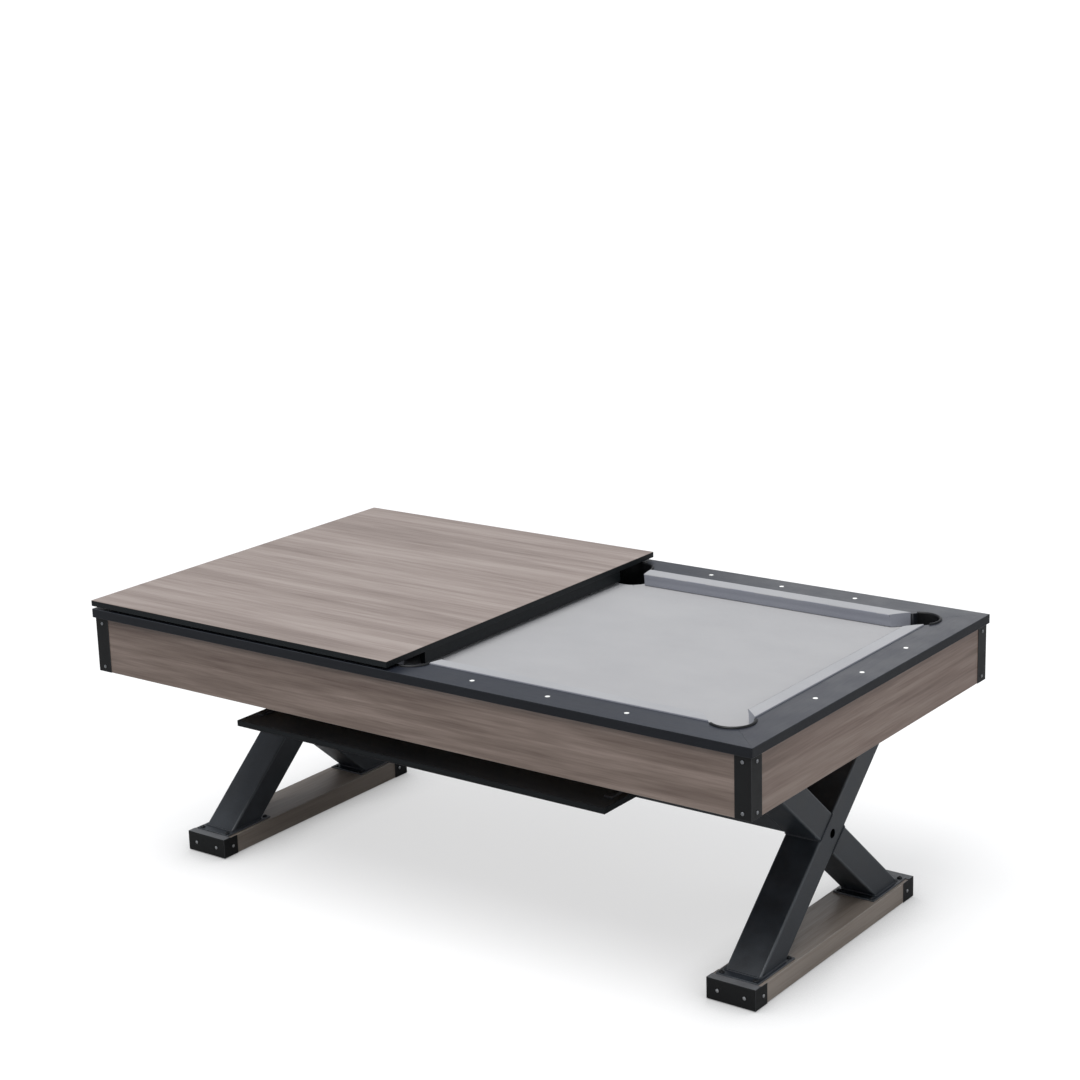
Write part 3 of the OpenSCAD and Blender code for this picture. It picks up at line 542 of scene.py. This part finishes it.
eased("stowed_strips", "foam", strip_rubber, None, 1.5)
eased("cross_members", "board", plywood, None, 0.8, shortest=100)
eased("leg_beams", "board", plywood, None, 1.0, shortest=100)
eased("bed_cleats", "board", plywood_cleat, None, 1.0)
eased("sights", "dot", sight_plastic, None, 0)
for node in POCKETS:
    eased(node, "liner", pocket_plastic, None, 0, smooth=30)
for corner in ("back_left", "back_right", "front_left", "front_right"):
    eased(f"leveler_{corner}", "foot", leveler_coat, None, 0, smooth=30)

for node, material in (("bed_slab", fibreboard_finish), ("leveler_inserts", zinc)):
    frame["nodes"][node].data.materials.clear()
    frame["nodes"][node].data.materials.append(material)


# ---------------------------------------------------------------- weld beads

BEAD_R = 3.2 * MM
BEAD_PITCH = 5.0 * MM      # one ripple each 5 mm; real ones lie about 2 mm apart, too fine to show
BEAD_RIPPLE = 0.14         # how far a ripple swells the bead, as a share of its radius
BEAD_SIDES = 8
TUBE_CORNER = 5 * MM


def bead(middle, first, second, half_1, half_2):
    """A rippled ring of weld round a tube's foot: a circle of radius R (1 + ripple sin(2 pi s /
    pitch)) carried round a rectangle with rounded corners, s being the way along it. The
    rectangle's middle and its two directions place it."""
    deep_1, deep_2 = half_1 - TUBE_CORNER, half_2 - TUBE_CORNER
    turn = np.linspace(0, np.pi / 2, 8)[None] + np.arange(4)[:, None] * np.pi / 2
    centres = np.array([(1, 1), (-1, 1), (-1, -1), (1, -1)]) * (deep_1, deep_2)
    arcs = centres[:, None] + TUBE_CORNER * np.stack([np.cos(turn), np.sin(turn)], -1)
    loop = arcs.reshape(-1, 2)
    closed = np.vstack([loop, loop[:1]])
    way = np.r_[0, np.cumsum(np.hypot(*np.diff(closed, axis=0).T))]
    count = int(way[-1] / (BEAD_PITCH / 4))
    s = np.arange(count) * way[-1] / count
    path = np.stack([np.interp(s, way, closed[:, k]) for k in (0, 1)], -1)
    along = np.roll(path, -1, 0) - np.roll(path, 1, 0)
    along /= np.hypot(*along.T)[:, None]
    out = np.stack([along[:, 1], -along[:, 0]], -1)
    ripples = round(way[-1] / BEAD_PITCH)
    radius = BEAD_R * (1 + BEAD_RIPPLE * np.sin(2 * np.pi * ripples * s / way[-1]))
    angle = np.arange(BEAD_SIDES) * 2 * np.pi / BEAD_SIDES
    first, second = np.array(first, float), np.array(second, float)
    normal = np.cross(first, second)
    flat = path[:, None] + out[:, None] * (radius[:, None] * np.cos(angle))[..., None]
    points = (np.array(middle) + flat[..., :1] * first + flat[..., 1:] * second
              + (radius[:, None] * np.sin(angle))[..., None] * normal)
    return grid(points, wrap=(True, True))


def leg_beads():
    """Beads where each arm stands on its flanges, and where the half arms meet the crossing."""
    parts = []
    for side in ("left", "right"):
        low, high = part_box(f"{side}_through_arm")
        middle_x, half_x = (low.x + high.x) / 2, (high.x - low.x) / 2
        points = corners(f"{side}_through_arm")
        foot = points[points[:, Z] < low.z + TOUCHING, Y]
        foot_y, half_run = (foot.min() + foot.max()) / 2, np.ptp(foot) / 2
        for z in (low.z, high.z):
            for y in (foot_y, -foot_y):
                parts.append(bead((middle_x, y, z), (1, 0, 0), (0, 1, 0), half_x, half_run))
        angle = math.atan2(high.z - low.z, -2 * foot_y)
        rise = np.array([0, math.cos(angle), math.sin(angle)])
        crossing = np.array([middle_x, 0, (low.z + high.z) / 2])
        # a half arm leans the other way and meets the through arm's side at twice the angle
        half_meet = half_run * math.sin(angle) / math.sin(2 * angle)
        other = np.array([0, -math.cos(angle), math.sin(angle)])
        for way in (1, -1):
            middle = crossing + way * other * half_meet
            parts.append(bead(middle, (1, 0, 0), rise, half_x, half_meet))
    piece("weld_beads", parts, leg_coat, "leg_flanges", smooth=60)


leg_beads()


# ---------------------------------------------------------------- cushions

def rounded(corners):
    """A closed section from (depth, height, radius) corners in mm: each corner is an arc that
    touches both its sides, taken as a quadratic curve between the two points of touch."""
    c = np.array(corners, float)
    p, r = c[:, :2], c[:, 2]
    back, ahead = np.roll(p, 1, 0) - p, np.roll(p, -1, 0) - p
    back /= np.hypot(*back.T)[:, None]
    ahead /= np.hypot(*ahead.T)[:, None]
    t = np.linspace(0, 1, 6)[None, :, None]
    a, b = p + back * r[:, None], p + ahead * r[:, None]
    arcs = (1 - t) ** 2 * a[:, None] + 2 * t * (1 - t) * p[:, None] + t ** 2 * b[:, None]
    return arcs.reshape(-1, 2)


# Depth from the rail line and height above the bed cloth, then how far each corner is rounded.
# The cloth comes out of a groove at the rail, is crowned over the rubber, and falls from the nose
# almost straight to the bed.
CUSHION_SECTION = rounded([
    (0.2, 0.8, 2.2), (0.2, 39.9, 2.6), (21, 39.5, 8), (43.2, 38.1, 3.2),
    (45.0, 35.0, 2.0), (44.7, 31.6, 2.0), (42.4, 17, 6), (41.2, 0.8, 2.2)]) * MM
END_FOLD = 1.4 * MM        # how far the cloth's fold rounds a cushion's ends
CLOTH_WAVES = ((210 * MM, 0.0), (133 * MM, 1.0))      # each wave's length and phase
WAVE_DEEP = 0.03 * MM
CLOTH_PULL = 0.12 * MM     # how far the cloth pulls in along a cushion, away from its ends
PULL_WITHIN = 0.025        # the share of a cushion's length over which the pull grows
CLOTH_BELOW = 2 * MM       # the bed cloth's top lies this far below a CAD cushion


def inward_normals(section):
    """Unit normals of a closed section: its chords turned a quarter, towards its middle."""
    chord = np.roll(section, -1, 0) - np.roll(section, 1, 0)
    chord /= np.maximum(np.hypot(*chord.T), 1e-9)[:, None]
    normal = np.stack([-chord[:, 1], chord[:, 0]], -1)
    return normal if ((section.mean(0) - section) * normal).sum() >= 0 else -normal


def cushion(node):
    """Rubber cushion under stretched cloth: its section carried along the rail between two
    slanting ends, whose place runs straight from the back line to the nose. Near each end the
    section shrinks by the fold's radius on a quarter circle. Two slow waves in the section's
    size keep the cloth from looking machined."""
    low, high = (np.array(v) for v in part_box(node))
    along = int(np.argmax(high - low))
    across = 1 - along
    points = corners(node)
    back_is_high = abs(high[across]) > abs(low[across])
    back = high[across] if back_is_high else low[across]
    inward = -1.0 if back_is_high else 1.0
    depth = (points[:, across] - back) * inward
    deep = depth.max()
    at_back = points[depth < TOUCHING, along]
    at_nose = points[depth > deep - TOUCHING, along]
    # rows along the cushion: share of the way, and near the ends the fold's way in and shrink
    fold, steps = np.linspace(0, np.pi / 2, 6), np.linspace(0, 1, 61)[1:-1]
    way_in, less = END_FOLD * (1 - np.cos(fold)), END_FOLD * (1 - np.sin(fold))
    share = np.r_[np.zeros(len(fold)), steps, np.ones(len(fold))]
    moved = np.r_[way_in, np.zeros(len(steps)), -way_in[::-1]]
    folded = np.r_[less, np.zeros(len(steps)), less[::-1]]
    length = at_back.max() - at_back.min()
    wave = sum(np.sin(2 * np.pi * share * length / each + phase) for each, phase in CLOTH_WAVES)
    grown = np.clip(share * (1 - share) / PULL_WITHIN, 0, 1)
    pulled = (CLOTH_PULL - WAVE_DEEP * wave) * grown
    shrink = folded + np.where(folded > 0, 0, pulled)
    flat = CUSHION_SECTION[None] + inward_normals(CUSHION_SECTION)[None] * shrink[:, None, None]
    slant = np.clip(flat[..., 0] / deep, 0, 1)
    start = at_back.min() + (at_nose.min() - at_back.min()) * slant
    end = at_back.max() + (at_nose.max() - at_back.max()) * slant
    place = np.empty(flat.shape[:2] + (3,))
    place[..., along] = start + (end - start) * share[:, None] + moved[:, None]
    place[..., across] = back + inward * flat[..., 0]
    place[..., Z] = low[Z] - CLOTH_BELOW + flat[..., 1]
    made = piece(f"{node}_covered", [grid(place, wrap=(False, True), ends=(True, True))],
                 cushion_top_shaded, node, smooth=50)
    # the upright faces take the darker, bluer copy of the cloth: a painted shade
    made.data.materials.append(cushion_face_shaded)
    faces = made.data.polygons
    normal = np.empty(len(faces) * 3)
    faces.foreach_get("normal", normal)
    upright = np.abs(normal.reshape(-1, 3)[:, Z]) < 0.5
    faces.foreach_set("material_index", upright.astype(int))
    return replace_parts(made, node)


for node in CUSHIONS:
    cushion(node)


# ---------------------------------------------------------------- bed cloth

POCKET_CUT, POCKET_SIDES = 56 * MM, 96      # radius of the cut round a pocket, and its sides
BOLT_CUT, BOLT_SIDES = 4.2 * MM, 12
LATTICE = 30 * MM
CLEAR_OF_RIM = 4 * MM                       # no lattice point stands nearer a rim
IN_HOLE = 0.985            # within this share of a rim's radius a triangle's middle is in the hole


def middle_of(points):
    """The middle of some points' box, seen from above."""
    return ((points.min(0) + points.max(0)) / 2)[:2]


def rim(centre, radius, sides):
    """A circle's corners: its centre and its radius times (cos, sin) at even steps."""
    angle = np.arange(sides) * 2 * np.pi / sides
    return centre + radius * np.stack([np.cos(angle), np.sin(angle)], -1)


def bed_sheet():
    """The cloth stretched on the bed: a flat sheet 1 mm thick, cut round the six pockets and
    the rail bolts. Points stand on a 30 mm lattice, on each hole's rim and on the outline, and
    are joined by Delaunay triangles; those whose middle falls in a hole are left out."""
    low, high = (np.array(v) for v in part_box("bed_cloth"))
    holes = []
    for node in POCKETS:
        # the side liners' beads are cut away towards the bed, so their middle comes from the cup
        cup = corners(node)
        floor = cup[cup[:, Z] < cup[:, Z].min() + 10 * TOUCHING]
        holes.append((middle_of(floor), POCKET_CUT, POCKET_SIDES))
    holes += [(middle_of(bolt), BOLT_CUT, BOLT_SIDES) for bolt in solids("rail_bolts")]
    xs, ys = (np.linspace(low[k], high[k], int((high[k] - low[k]) / LATTICE) + 1) for k in (X, Y))
    lattice = np.stack(np.meshgrid(xs, ys), -1).reshape(-1, 2)
    keep = np.ones(len(lattice), bool)
    for centre, radius, _ in holes:
        keep &= np.hypot(*(lattice - centre).T) > radius + CLEAR_OF_RIM
    rims = [rim(*hole) for hole in holes]
    flat = np.concatenate([lattice[keep]] + rims)
    edges, start = [], int(keep.sum())
    for each in rims:
        order = np.arange(len(each)) + start
        edges += np.stack([order, np.roll(order, -1)], -1).tolist()
        start += len(each)
    # output kind 0 keeps every triangle, and the last number is how near points are one
    joined = delaunay_2d_cdt([Vector(p) for p in flat.tolist()], edges, [], 0, 1e-7)
    verts, triangles = np.array(joined[0]), np.array(joined[2])
    middles = verts[triangles].mean(1)
    whole = np.ones(len(triangles), bool)
    for centre, radius, _ in holes:
        whole &= np.hypot(*(middles - centre).T) > radius * IN_HOLE
    triangles = triangles[whole]
    a, b, c = (verts[triangles[:, k]] for k in range(3))
    twice = (b[:, 0] - a[:, 0]) * (c[:, 1] - a[:, 1]) - (b[:, 1] - a[:, 1]) * (c[:, 0] - a[:, 0])
    triangles[twice < 0] = triangles[twice < 0][:, ::-1]
    mesh = bpy.data.meshes.new("bed_cloth_stretched")
    mesh.from_pydata(np.c_[verts, np.full(len(verts), high[Z])].tolist(), [], triangles.tolist())
    made = shown("bed_cloth_stretched", mesh, [bed_cloth_finish], "bed_cloth", turn=False)
    thick = made.modifiers.new("cloth_thickness", "SOLIDIFY")
    thick.thickness, thick.offset = high[Z] - low[Z], -1
    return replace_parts(made, "bed_cloth")


bed_sheet()


# ---------------------------------------------------------------- studio

FLOOR_GLOW, WALL_GLOW = 0.615, 1.0
GLOW_FROM, GLOW_TO = 20, 90      # metres from the table over which the glow rises
FLAT_RINGS = (0, 3, 10, 30, 60)  # metres
FLAT_R, BEND_R, WALL_TOP = 95, 15, 30
CONTACT = 0.16                   # metres: how near a foot has to stand to shade the floor
SIDES_OF_FLOOR = 96


def floor_paper():
    """White background paper under soft light from everywhere: matt, with a glow that keeps shadows pale. The glow
    rises with distance, so that the wall is as white all round, and falls to 0.45 of itself where a foot stands
    close by: a painted contact shadow. Seen from below the paper is clear, so that the table's underside can be
    looked at."""
    material, tree = new_material("seamless_studio_paper")
    fleck = layer(tree, (900, 900, 900), detail=2.0)
    colour = add(tree, "ValToRGB", {"Fac": fleck}, stops=[(0.3, "#9c9c9c"), (0.7, "#9e9e9e")])
    place = add(tree, "TexCoord").outputs["Object"]
    away = add(tree, "VectorMath", {0: place}, operation="LENGTH").outputs["Value"]
    glow = add(tree, "MapRange", {"Value": away, "From Min": GLOW_FROM, "From Max": GLOW_TO,
                                  "To Min": FLOOR_GLOW, "To Max": WALL_GLOW})
    # painted contact shadow: the ambient occlusion near the feet dims the glow
    open_air = add(tree, "AmbientOcclusion", {"Distance": CONTACT}, samples=4).outputs["AO"]
    lit = add(tree, "MapRange", {"Value": open_air, "From Min": 0.5, "From Max": 0.95,
                                 "To Min": 0.45, "To Max": 1.0})
    dimmed = add(tree, "Math", {0: glow, 1: lit}, operation="MULTIPLY")
    shader = add(tree, "BsdfPrincipled", {
        "Base Color": colour, "Roughness": 0.95, "Specular IOR Level": 0.0,
        "Emission Color": "#ffffff", "Emission Strength": dimmed})
    seen = add(tree, "MixShader", {0: add(tree, "NewGeometry").outputs["Backfacing"], 1: shader,
                                   2: add(tree, "BsdfTransparent")})
    add(tree, "OutputMaterial", {"Surface": seen})
    return material


def stage():
    """A pale seamless floor: a flat disc whose rim curves up on a quarter circle into a low
    wall, all turned about Z. It is turned clockwise, which makes its faces look up and inward."""
    bend = np.linspace(0, np.pi / 2, 13)
    r = np.r_[FLAT_RINGS, FLAT_R + BEND_R * np.sin(bend), FLAT_R + BEND_R]
    z = np.r_[np.zeros(len(FLAT_RINGS)), BEND_R - BEND_R * np.cos(bend), WALL_TOP]
    angle = np.arange(SIDES_OF_FLOOR) * -2 * np.pi / SIDES_OF_FLOOR
    points = np.stack([r[:, None] * np.cos(angle), r[:, None] * np.sin(angle),
                       np.repeat(z[:, None], SIDES_OF_FLOOR, 1)], -1)
    p, f = grid(points, wrap=(False, True))
    mesh = bpy.data.meshes.new("studio_floor")
    mesh.from_pydata(p.tolist(), [], f)
    mesh.materials.append(floor_paper())
    mesh.shade_smooth()
    floor = bpy.data.objects.new("studio_floor", mesh)
    scene.collection.objects.link(floor)
    # the glow shows on the floor alone: the table is lit by what the floor reflects
    glow_on = bpy.data.collections.new("floor_glow_receivers")
    glow_on.objects.link(floor)
    floor.light_linking.receiver_collection = glow_on


stage()

# A wide soft light overhead, leaning to the front: it lights the tops and shades the floor.
OVERHEAD = 3.08                  # watts per square metre
SPREAD, LEAN, ASIDE = math.radians(44), math.radians(19), math.radians(-1)
overhead = bpy.data.lights.new("overhead_softbox", "SUN")
overhead.energy, overhead.angle = OVERHEAD, SPREAD
overhead_lamp = bpy.data.objects.new("overhead_softbox", overhead)
overhead_lamp.rotation_euler = (LEAN, ASIDE, 0)
scene.collection.objects.link(overhead_lamp)


def softbox(name, size, watts, place, aim):
    """A square-cornered soft light at `place`, turned to `aim`, that isn't seen itself."""
    light = bpy.data.lights.new(name, "AREA")
    light.shape, light.size, light.size_y, light.energy = "RECTANGLE", *size, watts
    lamp = bpy.data.objects.new(name, light)
    lamp.location = place
    lamp.rotation_euler = (Vector(aim) - Vector(place)).to_track_quat("-Z", "Y").to_euler()
    lamp.visible_camera = False
    scene.collection.objects.link(lamp)


# Behind the table and low: its sheen greys the far and right-hand rails.
softbox("back_softbox", (2.1, 1.8), 12, (-2.1, 6.5, 2.9), (1.0, 0.4, 0.79))
# Beside the right end: it lifts that end, its leg and its foot, and stays off the left leg.
softbox("side_softbox", (2.0, 1.4), 12, (4.0, 0.6, 2.0), (1.0, 0.0, 0.5))

# Light from all round, a little cool: it fills the uprights and the legs.
world = bpy.data.worlds.new("studio_air")
world.use_nodes = True
air = world.node_tree
air.nodes.clear()
sky = add(air, "Background", {"Color": "#c0c4cb", "Strength": 0.84})
add(air, "OutputWorld", {"Surface": sky})
scene.world = world
scene.view_settings.view_transform = "Standard"

# ---------------------------------------------------------------- camera

AZIMUTH, ELEVATION, ROLL = 0.640122, 0.259739, -0.029528     # radians
STANDS_AT = Vector((3.717480, -4.936454, 2.638459))
SENSOR, FOCAL = 36.0, 76.4454                                # millimetres
back = Vector((math.sin(AZIMUTH) * math.cos(ELEVATION),
               -math.cos(AZIMUTH) * math.cos(ELEVATION), math.sin(ELEVATION)))
level = (-back).cross(Vector((0, 0, 1))).normalized()
upright = level.cross(-back)
right = level * math.cos(ROLL) + upright * math.sin(ROLL)
up = upright * math.cos(ROLL) - level * math.sin(ROLL)
lens = bpy.data.cameras.new("camera")
lens.sensor_width, lens.lens = SENSOR, FOCAL
lens.clip_start, lens.clip_end = 0.1, 400.0
camera = bpy.data.objects.new("camera", lens)
turned = Matrix((right, up, back)).transposed().to_4x4()
camera.matrix_world = Matrix.Translation(STANDS_AT) @ turned
scene.collection.objects.link(camera)
scene.camera = camera
